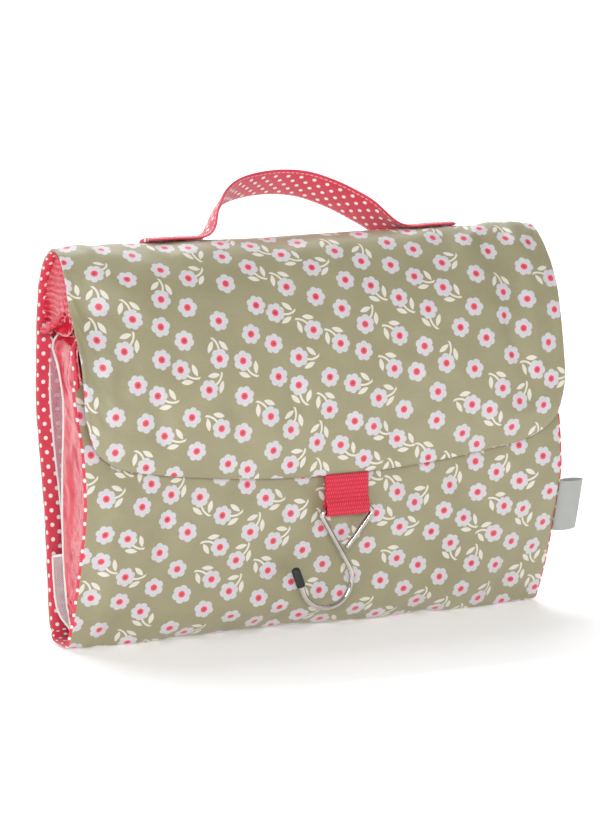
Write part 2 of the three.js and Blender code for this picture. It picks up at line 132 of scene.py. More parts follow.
strip, front = Outline(STRIP), Outline(FRONT)
front_pocket, back_pocket = Outline(FRONT_POCKET), Outline(BACK_POCKET)
mesh_pocket, pouch = Outline(MESH_POCKET), Outline(POUCH)
front_pocket_side, back_pocket_side = Outline(FRONT_POCKET_SIDE), Outline(BACK_POCKET_SIDE)
back_pocket_seam, mesh_side, mesh_seam = Outline(BACK_POCKET_SEAM), Outline(MESH_SIDE), Outline(MESH_SEAM)
strap_line = Outline(STRAP)


def smooth(a, b, x):
    t = min(max((x - a) / (b - a), 0), 1)
    return t * t * (3 - 2 * t)


def wobble(x, y, z=0.0):
    """Soft noise from about -1 to 1."""
    return noise.noise(Vector((x, y, z)))


# ---------------------------------------------------------------- shader arithmetic


def linear(r, g, b, a=1.0):
    """An sRGB colour, 0 to 255, as the linear one that shaders take."""
    parts = [c / 255 for c in (r, g, b)]
    return [c / 12.92 if c <= 0.04045 else ((c + 0.055) / 1.055) ** 2.4 for c in parts] + [a]


class Val:
    """A shader socket that takes part in arithmetic."""

    def __init__(self, tree, out):
        self.tree, self.out = tree, out

    def op(self, operation, *others):
        node = self.tree.nodes.new("ShaderNodeMath")
        node.operation = operation
        for socket, value in zip(node.inputs, (self, *others)):
            if isinstance(value, Val):
                self.tree.links.new(value.out, socket)
            else:
                socket.default_value = value
        return Val(self.tree, node.outputs[0])

    def under(self, edge, soft=0.15):
        """1 where this is under edge, 0 where it is over, with a soft change between."""
        node = self.tree.nodes.new("ShaderNodeMapRange")
        node.interpolation_type = "SMOOTHSTEP"
        distance = self - edge
        self.tree.links.new(distance.out, node.inputs["Value"])
        node.inputs["From Min"].default_value = -soft
        node.inputs["From Max"].default_value = soft
        node.inputs["To Min"].default_value = 1.0
        node.inputs["To Max"].default_value = 0.0
        return Val(self.tree, node.outputs["Result"])


def math_method(operation):
    """A method of Val that does one operation of the shader's arithmetic."""
    return lambda value, *others: value.op(operation, *others)


MATH_METHODS = {
    "__add__": "ADD", "__radd__": "ADD", "__sub__": "SUBTRACT", "__mul__": "MULTIPLY", "__rmul__": "MULTIPLY",
    "__truediv__": "DIVIDE", "__pow__": "POWER", "abs": "ABSOLUTE", "sin": "SINE", "cos": "COSINE",
    "floor": "FLOOR", "fract": "FRACT", "max": "MAXIMUM", "above": "GREATER_THAN",
}
for method_name, math_operation in MATH_METHODS.items():
    setattr(Val, method_name, math_method(math_operation))


class Paint:
    """A material in the making, with its pattern coordinates in millimetres along and across the cloth."""

    def __init__(self, name, roughness=0.5, metallic=0.0, **sockets):
        self.material = bpy.data.materials.new(name)
        self.material.use_nodes = True
        self.tree = self.material.node_tree
        self.shader = self.tree.nodes["Principled BSDF"]
        self.set("Roughness", roughness)
        self.set("Metallic", metallic)
        for key, value in sockets.items():
            self.set(key.replace("_", " "), value)
        coords = self.tree.nodes.new("ShaderNodeUVMap")
        coords.uv_map = "mm"
        split = self.tree.nodes.new("ShaderNodeSeparateXYZ")
        self.tree.links.new(coords.outputs["UV"], split.inputs[0])
        self.u, self.v = Val(self.tree, split.outputs[0]), Val(self.tree, split.outputs[1])

    def set(self, socket, value):
        self.shader.inputs[socket].default_value = value

    def link(self, value, socket):
        self.tree.links.new(value.out if isinstance(value, Val) else value, self.shader.inputs[socket])

    def vector(self, x, y, z=0.0):
        node = self.tree.nodes.new("ShaderNodeCombineXYZ")
        for socket, value in zip(node.inputs, (x, y, z)):
            if isinstance(value, Val):
                self.tree.links.new(value.out, socket)
            else:
                socket.default_value = value
        return node.outputs[0]

    def random(self, vector):
        """Three random numbers that depend on vector."""
        node = self.tree.nodes.new("ShaderNodeTexWhiteNoise")
        node.noise_dimensions = "3D"
        self.tree.links.new(vector, node.inputs["Vector"])
        split = self.tree.nodes.new("ShaderNodeSeparateColor")
        self.tree.links.new(node.outputs["Color"], split.inputs[0])
        return [Val(self.tree, out) for out in split.outputs]

    def cloud(self, scale, detail=2.0, stretch=(1, 1)):
        """Soft noise from 0 to 1; scale is in waves per millimetre."""
        node = self.tree.nodes.new("ShaderNodeTexNoise")
        node.inputs["Scale"].default_value = scale
        node.inputs["Detail"].default_value = detail
        spot = self.vector(self.u * stretch[0], self.v * stretch[1])
        self.tree.links.new(spot, node.inputs["Vector"])
        return Val(self.tree, node.outputs["Fac"])

    def mix(self, below, above, amount):
        """Colour above over colour below; each is a colour or a socket."""
        node = self.tree.nodes.new("ShaderNodeMix")
        node.data_type = "RGBA"
        for socket, value in ((node.inputs[6], below), (node.inputs[7], above)):
            if isinstance(value, (list, tuple)):
                socket.default_value = value
            else:
                self.tree.links.new(value, socket)
        if isinstance(amount, Val):
            self.tree.links.new(amount.out, node.inputs[0])
        else:
            node.inputs[0].default_value = amount
        return node.outputs[2]

    def bump(self, height, strength=0.3, distance=0.0004):
        node = self.tree.nodes.new("ShaderNodeBump")
        node.inputs["Strength"].default_value = strength
        node.inputs["Distance"].default_value = distance
        self.tree.links.new(height.out, node.inputs["Height"])
        self.tree.links.new(node.outputs[0], self.shader.inputs["Normal"])


def weave(paint, pitch):
    """The over and under of a plain weave, 0 to 1."""
    across = (paint.u * (2 * math.pi / pitch)).sin()
    along = (paint.v * (2 * math.pi / pitch)).sin()
    return (across * along) * 0.5 + 0.5


def leaf(x, y, centre, way, half_length, half_width):
    dx, dy = x - centre[0], y - centre[1]
    along = dx * way[0] + dy * way[1]
    across = (dx * way[1] - dy * way[0]).abs()
    edge = (along * along) * (-half_width / half_length ** 2) + half_width
    return (across - edge).under(0, 0.12)


def flower_print(paint):
    """Scattered flowers, about half of them with a curved stem and two leaves."""
    tilt = math.radians(27)  # the repeat runs across the cloth at a slant
    tilted_u = paint.u * math.cos(tilt) + paint.v * math.sin(tilt)
    tilted_v = paint.v * math.cos(tilt) - paint.u * math.sin(tilt)
    row = (tilted_v / FLOWER_CELL).floor()
    slide = paint.random(paint.vector(row, 7.3))[0]
    along = tilted_u / FLOWER_CELL + slide
    column = along.floor()
    turn, kind, extra = paint.random(paint.vector(column, row, 2.0))
    x0 = (along.fract() - 0.5) * FLOWER_CELL
    y0 = (tilted_v / FLOWER_CELL).fract() * FLOWER_CELL - FLOWER_CELL / 2
    angle = turn * 4.4 + (math.pi - 2.6)
    cosine, sine = angle.cos(), angle.sin()
    sprig = kind.above(0.47)
    single = sprig * -1.0 + 1.0
    x = (x0 * cosine - y0 * sine) + single * (extra * 5.0 - 2.5)
    y = x0 * sine + y0 * cosine + sprig * 3.0 + single * ((kind * 9.0).fract() * 5.0 - 2.5)
    distance = (x * x + y * y).op("SQRT")
    theta = x.op("ARCTAN2", y)
    lobes = extra.above(0.5) + 6.0
    scallop = ((theta * lobes * 0.5).sin().abs()) ** 0.55
    petals = (distance - scallop * 1.2).under(3.85, 0.18)
    inner = distance.under(2.15, 0.45)
    disc = (distance - scallop * 0.12).under(1.62, 0.26)
    speck = distance.under(0.62, 0.3)
    curve_x, curve_y, curve_radius = 7.0, 5.2, 7.4
    bow = ((x - curve_x) * (x - curve_x) + (y - curve_y) * (y - curve_y)).op("SQRT")
    stem = (bow - curve_radius).abs().under(0.52, 0.14) * (y - 7.5).abs().under(3.4, 0.15) * x.under(4.2, 0.1)
    left = leaf(x, y, (-3.3, 6.1), (-0.573, -0.82), 3.3, 1.25)
    right = leaf(x, y, (3.75, 6.5), (0.536, -0.844), 3.3, 1.25)
    greens = stem.max(left).max(right) * sprig

    patches = paint.cloud(0.035, 3.0)
    ground = paint.mix(linear(143, 135, 103), linear(167, 161, 128), patches)
    ground = paint.mix(ground, linear(226, 221, 208), greens)
    tint = paint.mix(linear(211, 198, 213), linear(204, 214, 208), paint.cloud(0.16, 1.0))
    ground = paint.mix(ground, tint, petals)
    ground = paint.mix(ground, linear(238, 190, 202), inner * petals)
    ground = paint.mix(ground, linear(226, 76, 96), disc * petals)
    return paint.mix(ground, linear(168, 36, 64), speck * (extra * 0.5 + 0.5))


def dots(paint, pitch=DOT_PITCH, radius=1.05, soft=0.14):
    """Dots on a staggered grid."""
    found = None
    for shift in (0.0, 0.5):
        x = (((paint.u / pitch) + shift).fract() - 0.5) * pitch
        y = (((paint.v / pitch) + shift).fract() - 0.5) * pitch
        spot = (x * x + y * y).op("SQRT").under(radius, soft)
        found = spot if found is None else found.max(spot)
    return found


def oilcloth():
    paint = Paint("oilcloth_floral", roughness=0.36, Coat_Weight=0.35, Coat_Roughness=0.3)
    threads = paint.cloud(0.5, 3.0, (0.25, 4.0))
    colour = paint.mix(flower_print(paint), linear(112, 106, 78), (threads - 0.5) * 0.18 + 0.03)
    paint.link(colour, "Base Color")
    paint.link(threads * 0.14 + 0.32, "Roughness")
    paint.bump(threads * 0.6 + weave(paint, 0.62) * 0.25 + paint.cloud(0.055, 3.0) * 5.0, 0.45, 0.0005)
    return paint.material


def dotted_cotton(name, deep, bright, hem=0.0):
    """Cotton with white dots; with a hem, the strip beyond hem from the middle is plain and has stitches."""
    paint = Paint(name, roughness=0.55, Sheen_Weight=0.12)
    cloud = paint.cloud(0.06, 3.0)
    colour = paint.mix(linear(*deep), linear(*bright), cloud)
    grain = weave(paint, 0.55)
    colour = paint.mix(colour, linear(150, 20, 48), grain * 0.12)
    height = grain * 0.5 + paint.cloud(0.12, 3.0) * 1.6
    spots = dots(paint)
    if hem:
        inside = paint.v.abs().under(hem, 0.1)
        spots = spots * inside
        seam = (paint.v.abs() - (hem + 0.75)).abs().under(0.28, 0.1)
        stitch = seam * (paint.u / 2.6).fract().under(0.68, 0.06)
        colour = paint.mix(colour, linear(250, 206, 210), stitch * 0.75)
        height = height + stitch * 2.0 + inside * -1.2
    colour = paint.mix(colour, linear(248, 240, 238), spots)
    paint.link(colour, "Base Color")
    paint.link(cloud * 0.15 + 0.42, "Roughness")
    paint.bump(height, 0.4, 0.0003)
    return paint.material


def vinyl():
    paint = Paint("pink_vinyl", roughness=0.14, Coat_Weight=0.5, Coat_Roughness=0.06)
    cloud = paint.cloud(0.05, 3.0)
    colour = paint.mix(linear(186, 16, 42), linear(222, 52, 76), cloud)
    paint.link(colour, "Base Color")
    paint.link(paint.cloud(0.3, 2.0) * 0.12 + 0.08, "Roughness")
    paint.bump(paint.cloud(0.09, 4.0, (0.5, 1)), 0.8, 0.002)
    return paint.material


def clear_film():
    paint = Paint("clear_film", roughness=0.1, Alpha=0.3, Coat_Weight=1.0, Coat_Roughness=0.05)
    cloud = paint.cloud(0.04, 2.0)
    colour = paint.mix(linear(222, 170, 184), linear(244, 216, 224), cloud)
    paint.link(colour, "Base Color")
    paint.link(cloud * 0.1 + 0.05, "Roughness")
    paint.bump(paint.cloud(0.06, 3.0), 0.5, 0.001)
    return paint.material


def netting():
    paint = Paint("net", roughness=0.6)
    pitch = 1.15
    gap = dots(paint, pitch, 0.27 * pitch, 0.06 * pitch)
    colour = paint.mix(linear(182, 156, 158), linear(222, 200, 200), paint.cloud(0.2, 3.0))
    paint.link(colour, "Base Color")
    paint.link(gap * -0.8 + 1.0, "Alpha")
    paint.bump(gap * -1.0, 0.4, 0.0003)
    return paint.material


def webbing_weave():
    """Ribs across the webbing, each a row of short slanting stitches, with painted shade in the grooves and
    painted highlight on the raised stitches.
    """
    paint = Paint("webbing_weave", roughness=0.6, Sheen_Weight=0.12)
    rib = paint.u / 2.05
    lean = (rib.floor() * 0.5).fract() * 4.0 - 1.0
    stitch = ((paint.v / 1.25 + lean * rib.fract() * 0.45).fract() - 0.5).abs()
    ridge = (rib.fract() - 0.5).abs()
    high = (stitch * stitch * 3.0 + ridge * ridge * 1.3).op("SQRT").under(0.5, 0.24)
    # painted shade and highlight: the colour runs from dark in the grooves to light on the raised stitches
    colour = paint.mix(linear(204, 10, 44), linear(255, 66, 100), high * (paint.cloud(0.4, 2.0) * 0.6 + 0.5))
    paint.link(colour, "Base Color")
    paint.link(high * 0.1 + 0.5, "Roughness")
    paint.bump(high, 0.7, 0.0006)
    return paint.material


def tape(name, colour, dark, pitch=0.7, rough=0.6):
    paint = Paint(name, roughness=rough, Sheen_Weight=0.2)
    grain = weave(paint, pitch)
    base = paint.mix(linear(*dark), linear(*colour), grain * 0.5 + paint.cloud(0.15, 3.0) * 0.5 + 0.1)
    paint.link(base, "Base Color")
    paint.link(grain * 0.15 + (rough - 0.1), "Roughness")
    paint.bump(grain, 0.35, 0.0003)
    return paint.material


def solid(name, bright, dark, rough, metallic=0.0, scale=60.0, bump=0.1):
    """A plain material for pieces with no cloth pattern; its variation follows the object's own coordinates."""
    material = bpy.data.materials.new(name)
    material.use_nodes = True
    tree = material.node_tree
    shader = tree.nodes["Principled BSDF"]
    shader.inputs["Metallic"].default_value = metallic
    coords = tree.nodes.new("ShaderNodeTexCoord")
    cloud = tree.nodes.new("ShaderNodeTexNoise")
    cloud.inputs["Scale"].default_value = scale
    cloud.inputs["Detail"].default_value = 4.0
    tree.links.new(coords.outputs["Object"], cloud.inputs["Vector"])
    ramp = tree.nodes.new("ShaderNodeMix")
    ramp.data_type = "RGBA"
    ramp.inputs[6].default_value = linear(*dark)
    ramp.inputs[7].default_value = linear(*bright)
    tree.links.new(cloud.outputs["Fac"], ramp.inputs[0])
    tree.links.new(ramp.outputs[2], shader.inputs["Base Color"])
    level = Val(tree, cloud.outputs["Fac"]) * 0.12 + (rough - 0.06)
    tree.links.new(level.out, shader.inputs["Roughness"])
    node = tree.nodes.new("ShaderNodeBump")
    node.inputs["Strength"].default_value = bump
    node.inputs["Distance"].default_value = 0.0002
    tree.links.new(cloud.outputs["Fac"], node.inputs["Height"])
    tree.links.new(node.outputs[0], shader.inputs["Normal"])
    return material


FLORAL = oilcloth()
DOTTED = dotted_cotton("dotted_lining", (202, 38, 60), (234, 74, 96))
DOTTED_STRAP = dotted_cotton("dotted_strap", (202, 34, 62), (228, 66, 90), hem=9.2)
VINYL = vinyl()
FILM = clear_film()
NET = netting()
WEBBING = webbing_weave()
ZIP_TAPE = tape("zip_tape_pink", (224, 76, 98), (170, 30, 56))
RIBBON = tape("label_ribbon", (180, 182, 177), (158, 160, 157), 0.5, 0.5)
BINDING = tape("white_binding", (246, 243, 238), (214, 208, 206), 0.6)
HOOK_TAPE = tape("fastener_tape", (236, 232, 226), (188, 182, 178), 0.9, 0.8)
STEEL = solid("polished_wire", (228, 225, 216), (166, 162, 154), 0.11, 1.0, 90.0, 0.04)
RUBBER = solid("black_rubber", (44, 46, 48), (20, 21, 22), 0.5, 0.0, 300.0, 0.3)
CHAIN = solid("zip_coil", (244, 240, 236), (216, 208, 204), 0.4, 0.0, 400.0, 0.2)
PULL = solid("pull_tab", (226, 80, 100), (190, 44, 70), 0.5, 0.0, 500, 0.4)
CHROME = solid("slider_metal", (214, 214, 212), (150, 150, 150), 0.2, 1.0, 200.0, 0.15)

# ---------------------------------------------------------------- mesh helpers


def build(name, points, faces, uvs, materials, slots=None):
    """A mesh in metres from points in millimetres, with pattern coordinates in the layer "mm"."""
    mesh = bpy.data.meshes.new(name)
    mesh.from_pydata([Vector(p) * MM for p in points], [], faces)
    layer = mesh.uv_layers.new(name="mm")
    for loop in mesh.loops:
        layer.data[loop.index].uv = uvs[loop.vertex_index]
    for material in materials:
        mesh.materials.append(material)
    for polygon in mesh.polygons:
        polygon.use_smooth = True
        if slots:
            polygon.material_index = slots[polygon.index]
    obj = bpy.data.objects.new(name, mesh)
    bpy.context.scene.collection.objects.link(obj)
    return obj


def grid(name, spot, rows, columns, material, thickness=0.0):
    """A sheet: spot(a, b) gives a point and its pattern coordinates, with a and b from 0 to 1."""
    points, uvs = [], []
    for i in range(rows + 1):
        for j in range(columns + 1):
            point, uv = spot(i / rows, j / columns)
            points.append(point)
            uvs.append(uv)
    wide = columns + 1
    faces = [
        (i * wide + j, i * wide + j + 1, (i + 1) * wide + j + 1, (i + 1) * wide + j)
        for i in range(rows) for j in range(columns)
    ]
    obj = build(name, points, faces, uvs, [material])
    if thickness:
        skin = obj.modifiers.new("thickness", "SOLIDIFY")
        skin.thickness = thickness * MM
        skin.offset = 0.0
    return obj


def tube(name, path, radius, material, sides=14, radii=None):
    """A round rod along path; radii, if given, scales it at each point."""
    points, uvs, faces = [], [], []
    path = [Vector(p) for p in path]
    normal = None
    run = 0.0
    for i, spot in enumerate(path):
        way = (path[min(i + 1, len(path) - 1)] - path[max(i - 1, 0)]).normalized()
        if normal is None:
            normal = way.orthogonal().normalized()
        normal = (normal - way * normal.dot(way)).normalized()
        side = way.cross(normal)
        if i:
            run += (spot - path[i - 1]).length
        size = radius * (radii[i] if radii else 1.0)
        for k in range(sides):
            a = 2 * math.pi * k / sides
            points.append(spot + normal * math.cos(a) * size + side * math.sin(a) * size)
            uvs.append((run, k * 2 * math.pi * radius / sides))
    for i in range(len(path) - 1):
        for k in range(sides):
            n = (k + 1) % sides
            faces.append((i * sides + k, i * sides + n, (i + 1) * sides + n, (i + 1) * sides + k))
    faces.append(tuple(reversed(range(sides))))
    faces.append(tuple((len(path) - 1) * sides + k for k in range(sides)))
    return build(name, points, faces, uvs, [material])


def ribbon(name, stations, half_width, thickness, materials, across=8, sag=None, start_v=0.0):
    """A flat strap with rounded edges.

    A station is (point, width direction, normal), and sag[i] bends section i."""
    points, uvs = [], []
    ring = []
    for j in range(across + 1):
        ring.append((-1 + 2 * j / across, 0.5))
    ring.append((1.0, 0.0))
    for j in range(across + 1):
        ring.append((1 - 2 * j / across, -0.5))
    ring.append((-1.0, 0.0))
    run = 0.0
    for i, (spot, wide, normal) in enumerate(stations):
        if i:
            run += (spot - stations[i - 1][0]).length
        bend = sag[i] if sag else 0.0
        for b, level in ring:
            pinch = 1.0 - 0.45 * abs(b) ** 6
            bulge = 0.35 * thickness if level == 0.0 else 0.0
            offset = wide * (b * half_width + math.copysign(bulge, b) * (level == 0.0))
            points.append(spot + offset + normal * (level * thickness * pinch - bend * b * b))
            uvs.append((run + start_v, b * half_width))
    count = len(ring)
    faces = []
    for i in range(len(stations) - 1):
        for k in range(count):
            n = (k + 1) % count
            faces.append((i * count + k, (i + 1) * count + k, (i + 1) * count + n, i * count + n))
    faces.append(tuple(range(count)))
    faces.append(tuple(reversed([(len(stations) - 1) * count + k for k in range(count)])))
    return build(name, points, faces, uvs, materials)


def subdivide(obj, levels=1):
    smoother = obj.modifiers.new("smooth", "SUBSURF")
    smoother.levels = levels
    smoother.render_levels = levels
    return obj


def apply_modifiers(obj):
    bpy.context.view_layer.update()
    graph = bpy.context.evaluated_depsgraph_get()
    finished = bpy.data.meshes.new_from_object(obj.evaluated_get(graph), depsgraph=graph)
    obj.modifiers.clear()
    obj.data = finished
    return obj


def attach(piece, body, slot_name, *stood_for):
    """Let a piece ride on a body and have it stand for the frame's nodes, which are hidden; slot_name is not
    used.
    """
    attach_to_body(piece, body)
    if stood_for:
        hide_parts(*stood_for)


# ---------------------------------------------------------------- padded panels


def flap_edge_height(x):
    """The flap's lower edge: a shallow arc between two rounded corners."""
    turn, corner, side, low = HALF - 26, 121.0, 92.5, 83.0
    if abs(x) > turn:
        f = math.sqrt(max(HALF - abs(x), 0) / (HALF - turn))
        return (1 - f) ** 2 * corner + 2 * f * (1 - f) * (side + 5.5) + f * f * side
    f = (x + turn) / (2 * turn)
    return ((1 - f) ** 2 + f * f) * side + 2 * f * (1 - f) * (2 * low - side)


def padded_panel(name, outline, start, end, rows, columns, crown, seed, end_of=None, shape=None,
                 printed_rim=3, calm=lambda s: 1.0):
    """A closed padded panel along an outline: the printed cover outside, the lining inside, one rounded rim."""
    rim_steps = 4
    edge_thick, lift = 1.9, 0.75

    def column_x(j):
        f = -1 + 2 * j / columns
        return HALF * math.sin(f * math.pi / 2) * 0.35 + HALF * f * 0.65

    xs = [column_x(j) for j in range(columns + 1)]
    ends = [end_of(x) if end_of else end for x in xs]

    def place(x, s, depth):
        y, z = outline.at(s, depth)
        return Vector((x, y, max(z, ABOVE_FLOOR)))

    def level(x, s, stop, inner):
        gap = min(HALF - abs(x), abs(s - start), abs(stop - s))
        full = smooth(0, 16, gap)
        puckers = 0.30 * math.exp(-gap / 7) * math.sin((x + s) * 0.55 + 2.5 * wobble(x * 0.05, s * 0.05, seed))
        waves = 0.8 * wobble(x * 0.018, s * 0.024, seed) + 0.32 * wobble(x * 0.06, s * 0.075, seed + 5)
        if inner:
            return PANEL - (PANEL - lift - edge_thick) * (1 - full) + (puckers * 0.6 + waves * 0.25) * full
        dome = crown * full * (0.6 + 0.4 * full) * calm(s)
        return lift * (1 - full) - dome + puckers + waves * full * 0.7 * calm(s)

    points, uvs = [], []
    flat = []
    for inner in (False, True):
        for i in range(rows + 1):
            for j in range(columns + 1):
                x = xs[j]
                s = start + (ends[j] - start) * i / rows
                points.append(place(x, s, level(x, s, ends[j], inner)))
                uvs.append((x, s))
                if not inner:
                    flat.append((x, s))
    wide, sheet_size = columns + 1, (rows + 1) * (columns + 1)
    faces, slots = [], []
    for i in range(rows):
        for j in range(columns):
            a, b = i * wide + j, i * wide + j + 1
            c, d = (i + 1) * wide + j + 1, (i + 1) * wide + j
            faces.append((a, d, c, b))
            slots.append(0)
            faces.append(tuple(k + sheet_size for k in (a, b, c, d)))
            slots.append(1)
    loop = [j for j in range(columns)] + [i * wide + columns for i in range(rows)]
    loop += [rows * wide + j for j in range(columns, 0, -1)] + [i * wide for i in range(rows, 0, -1)]
    count = len(loop)
    rings = [loop]
    for k in range(1, rim_steps):
        f = k / rim_steps
        ring = []
        for n, corner in enumerate(loop):
            before, after = flat[loop[n - 1]], flat[loop[(n + 1) % count]]
            run = Vector((after[0] - before[0], after[1] - before[1])).normalized()
            out = Vector((run.y, -run.x)) * 1.0 * math.sin(math.pi * f)
            x, s = flat[corner]
            outer, inner = points[corner], points[corner + sheet_size]
            middle = outer.lerp(inner, f)
            step = place(x, s + out.y, 0) - place(x, s, 0)
            ring.append(len(points))
            points.append(middle + Vector((out.x, 0, 0)) + step)
            uvs.append((x + out.x + run.y * f * 2.0, s + out.y - run.x * f * 2.0))
        rings.append(ring)
    rings.append([k + sheet_size for k in loop])
    for k in range(rim_steps):
        for n in range(count):
            m = (n + 1) % count
            faces.append((rings[k][n], rings[k][m], rings[k + 1][m], rings[k + 1][n]))
            slots.append(0 if k < printed_rim else 1)
    if shape:
        points = [shape(p) for p in points]
    panel = build(name, points, faces, uvs, [FLORAL, DOTTED], slots)
    hold = panel.vertex_groups.new(name="hold")
    for k in range(len(points)):
        free = 0.0
        if k < sheet_size:
            x, s = flat[k]
            free = calm(s) * smooth(3, 14, min(HALF - abs(x), s - start, ends[k % wide] - s))
        hold.add([k], 1.0 - free, "REPLACE")
    puff(panel)
    return subdivide(panel, 1)


def puff(panel, most=1.9):
    """Let the cover settle as slack cloth over its padding, moving no point further than most."""
    before = np.array([v.co for v in panel.data.vertices])
    cloth = panel.modifiers.new("cloth", "CLOTH")
    settings = cloth.settings
    settings.quality = 6
    settings.mass = 0.25
    settings.tension_stiffness = settings.compression_stiffness = 25
    settings.shear_stiffness = 12
    settings.bending_stiffness = 0.25
    settings.air_damping = 4
    settings.shrink_min = settings.shrink_max = -0.02
    settings.use_pressure = True
    settings.uniform_pressure_force = 1.2
    settings.vertex_group_mass = "hold"
    settings.effector_weights.gravity = 0
    cloth.point_cache.frame_start, cloth.point_cache.frame_end = 1, 20
    scene = bpy.context.scene
    for number in range(1, 21):
        scene.frame_set(number)
    graph = bpy.context.evaluated_depsgraph_get()
    settled = panel.evaluated_get(graph).to_mesh()
    moves = np.array([v.co for v in settled.vertices]) - before
    panel.evaluated_get(graph).to_mesh_clear()
    panel.modifiers.remove(cloth)
    scene.frame_set(1)
    sizes = np.linalg.norm(moves, axis=1, keepdims=True)
    limit = most * MM
    moves *= limit * np.tanh(sizes / limit) / np.maximum(sizes, 1e-9)
    print(panel.name, "settled by up to", round(float(sizes.max()) / MM, 2), "mm")
    for vertex, place in zip(panel.data.vertices, before + moves):
        vertex.co = (place[0], place[1], max(place[2], ABOVE_FLOOR * MM))


def front_shape(p):
    """The front bellies out low in the middle and at its sides, and its top corners lean in."""
    x, y, z = p
    side = smooth(70, HALF, abs(x))
    low = 6.0 * math.exp(-((z - 14) / 13) ** 2) * (1 - smooth(60, 128, abs(x)))
    belly = 2.6 * side * math.exp(-((z - 74) / 24) ** 2)
    lean = 6.0 * smooth(100, 128, z) * smooth(96, HALF, abs(x))
    outward = (low if y < -6 else low * smooth(0, -6, y)) + belly
    return Vector((x, y - outward + lean, z))


def flap_shape(p):
    """Below the ridge the flap is pulled in at its left end, and is fuller at its right end."""
    x, y, z = p
    ends = 6.5 * smooth(88, HALF, -x) - 1.8 * smooth(60, HALF, x)
    return Vector((x, y + ends * math.exp(-((z - 172) / 17) ** 2) * smooth(-4, -16, y), z))


back_start = strip.length_at(3.1)
back_panel = padded_panel(
    "panel_back_and_flap", strip, back_start, strip.total, 74, 60, 0.5, 11.0,
    end_of=lambda x: strip.length_at_height(flap_edge_height(x), 18), shape=flap_shape,
)
front_panel = padded_panel("panel_front_and_base", front, 0.0, front.length_at(12.0), 48, 60, 0.5, 37.0,
                           shape=front_shape, printed_rim=0, calm=lambda s: 0.1 + 0.9 * smooth(52, 70, s))
for panel in (back_panel, front_panel):
    apply_modifiers(panel)
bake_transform(back_panel)
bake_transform(front_panel)
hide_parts("back_cover", "back_board", "back_lining", "ridge_cover", "ridge_lining",
            "flap_cover", "flap_board", "flap_lining")
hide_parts("base_cover", "base_board", "base_lining", "front_cover", "front_board", "front_lining")

# ---------------------------------------------------------------- pockets

PIPE = 0.75
LEFT, RIGHT = -1, 1


def flared(outline, side_line, x, s, depth, half):
    """A point of a pocket, drawn to the line of the pocket's side near its two ends."""
    spot = outline.at(s, depth)
    if side_line is None:
        return spot
    return spot.lerp(side_line.at(s / outline.total * side_line.total, depth), smooth(half - 9, half, abs(x)))


def outline_sheet(name, outline, ends, inset, depth, material, body, nodes, slot_name, rows=24, ripple=0.5,
                  thickness=0.35, seed=1.0, side_line=None):
    """A film or net along an outline, rippled a little, riding on a body."""
    first, last = (outline.length_at(t) for t in ends)
    half = HALF - inset

    def spot(a, b):
        x, s = -half + 2 * half * b, first + (last - first) * a
        calm = smooth(0, 0.12, a) * smooth(0, 0.12, 1 - a) * smooth(0, 0.06, b) * smooth(0, 0.06, 1 - b)
        off = ripple * calm * (wobble(x * 0.03, s * 0.03, seed) + 0.5 * wobble(x * 0.08, s * 0.07, seed + 3))
        y, z = flared(outline, side_line, x, s, depth + off, half)
        return (x, y, z), (x, s)

    obj = grid(name, spot, rows, 48, material, thickness)
    attach(obj, body, slot_name, *nodes)
    return obj


def cut_size(inner, outer, steps=40):
    """The greatest width, the length and the area of the sheet between two lines, in millimetres."""
    pairs = [(inner(k / steps), outer(k / steps)) for k in range(steps + 1)]
    widths = [(far - near).length for near, far in pairs]
    middles = [near.lerp(far, 0.5) for near, far in pairs]
    length = sum((after - before).length for before, after in zip(middles, middles[1:]))
    area = sum(abs((n1 - f0).cross(f1 - n0)) / 2 for (n0, f0), (n1, f1) in zip(pairs, pairs[1:]))
    return max(widths), length, area


def pocket_side(name, side, x, inner, outer, material, body, node, slot_name, crumple, rows=60, columns=14,
                pleats=None, seed=3.0):
    """A soft gusset between an inner and an outer line, each a function of a share from 0 to 1.

    x is its distance from the middle, as a function of y and z."""

    def spot(a, b):
        near, far = inner(a), outer(a)
        y, z = near.lerp(far, b)
        width = (far - near).length
        hold = smooth(0, 0.08, b) * smooth(0, 0.08, 1 - b)
        drape = wobble(y * 0.05, z * 0.03, seed) + 0.6 * wobble(y * 0.16, z * 0.07, seed + 4)
        fine = 0.5 * wobble(y * 0.25, z * 0.35, seed + 9)
        fold = -1.2 * math.sin(math.pi * b) * smooth(0, 10, width)
        ribs = 0
        if pleats:
            ribs = pleats(y, z) * abs(math.sin(z * 1.05 + 1.3 * wobble(y * 0.08, z * 0.05, seed))) * hold
        bulge = (fold + crumple * (drape + fine)) * hold + ribs
        return (side * (x(y, z) + bulge), y, z), (z, y)

    obj = grid(name, spot, rows, columns, material, 0.35)
    subdivide(obj, 1)
    attach(obj, body, slot_name, node)
    width, length, area = cut_size(inner, outer)
    return obj


def level_x(x):
    """A side that stays at one distance from the middle."""
    return lambda y, z: x


def run_along(outline, first, last, depth):
    """A line along part of an outline, as a function of a share from 0 to 1."""
    a, b = outline.length_at(first), outline.length_at(last)
    return lambda share: Vector(outline.at(a + (b - a) * share, depth))


def piping(name, outline, first, last, depth, x, material, body, radius=PIPE, steps=40):
    line = run_along(outline, first, last, depth)
    spots = [line(i / steps) for i in range(steps + 1)]
    obj = tube(name, [(x(y, z), y, z) for y, z in spots], radius, material, 8)
    attach(obj, body, "white_tape")
    return obj


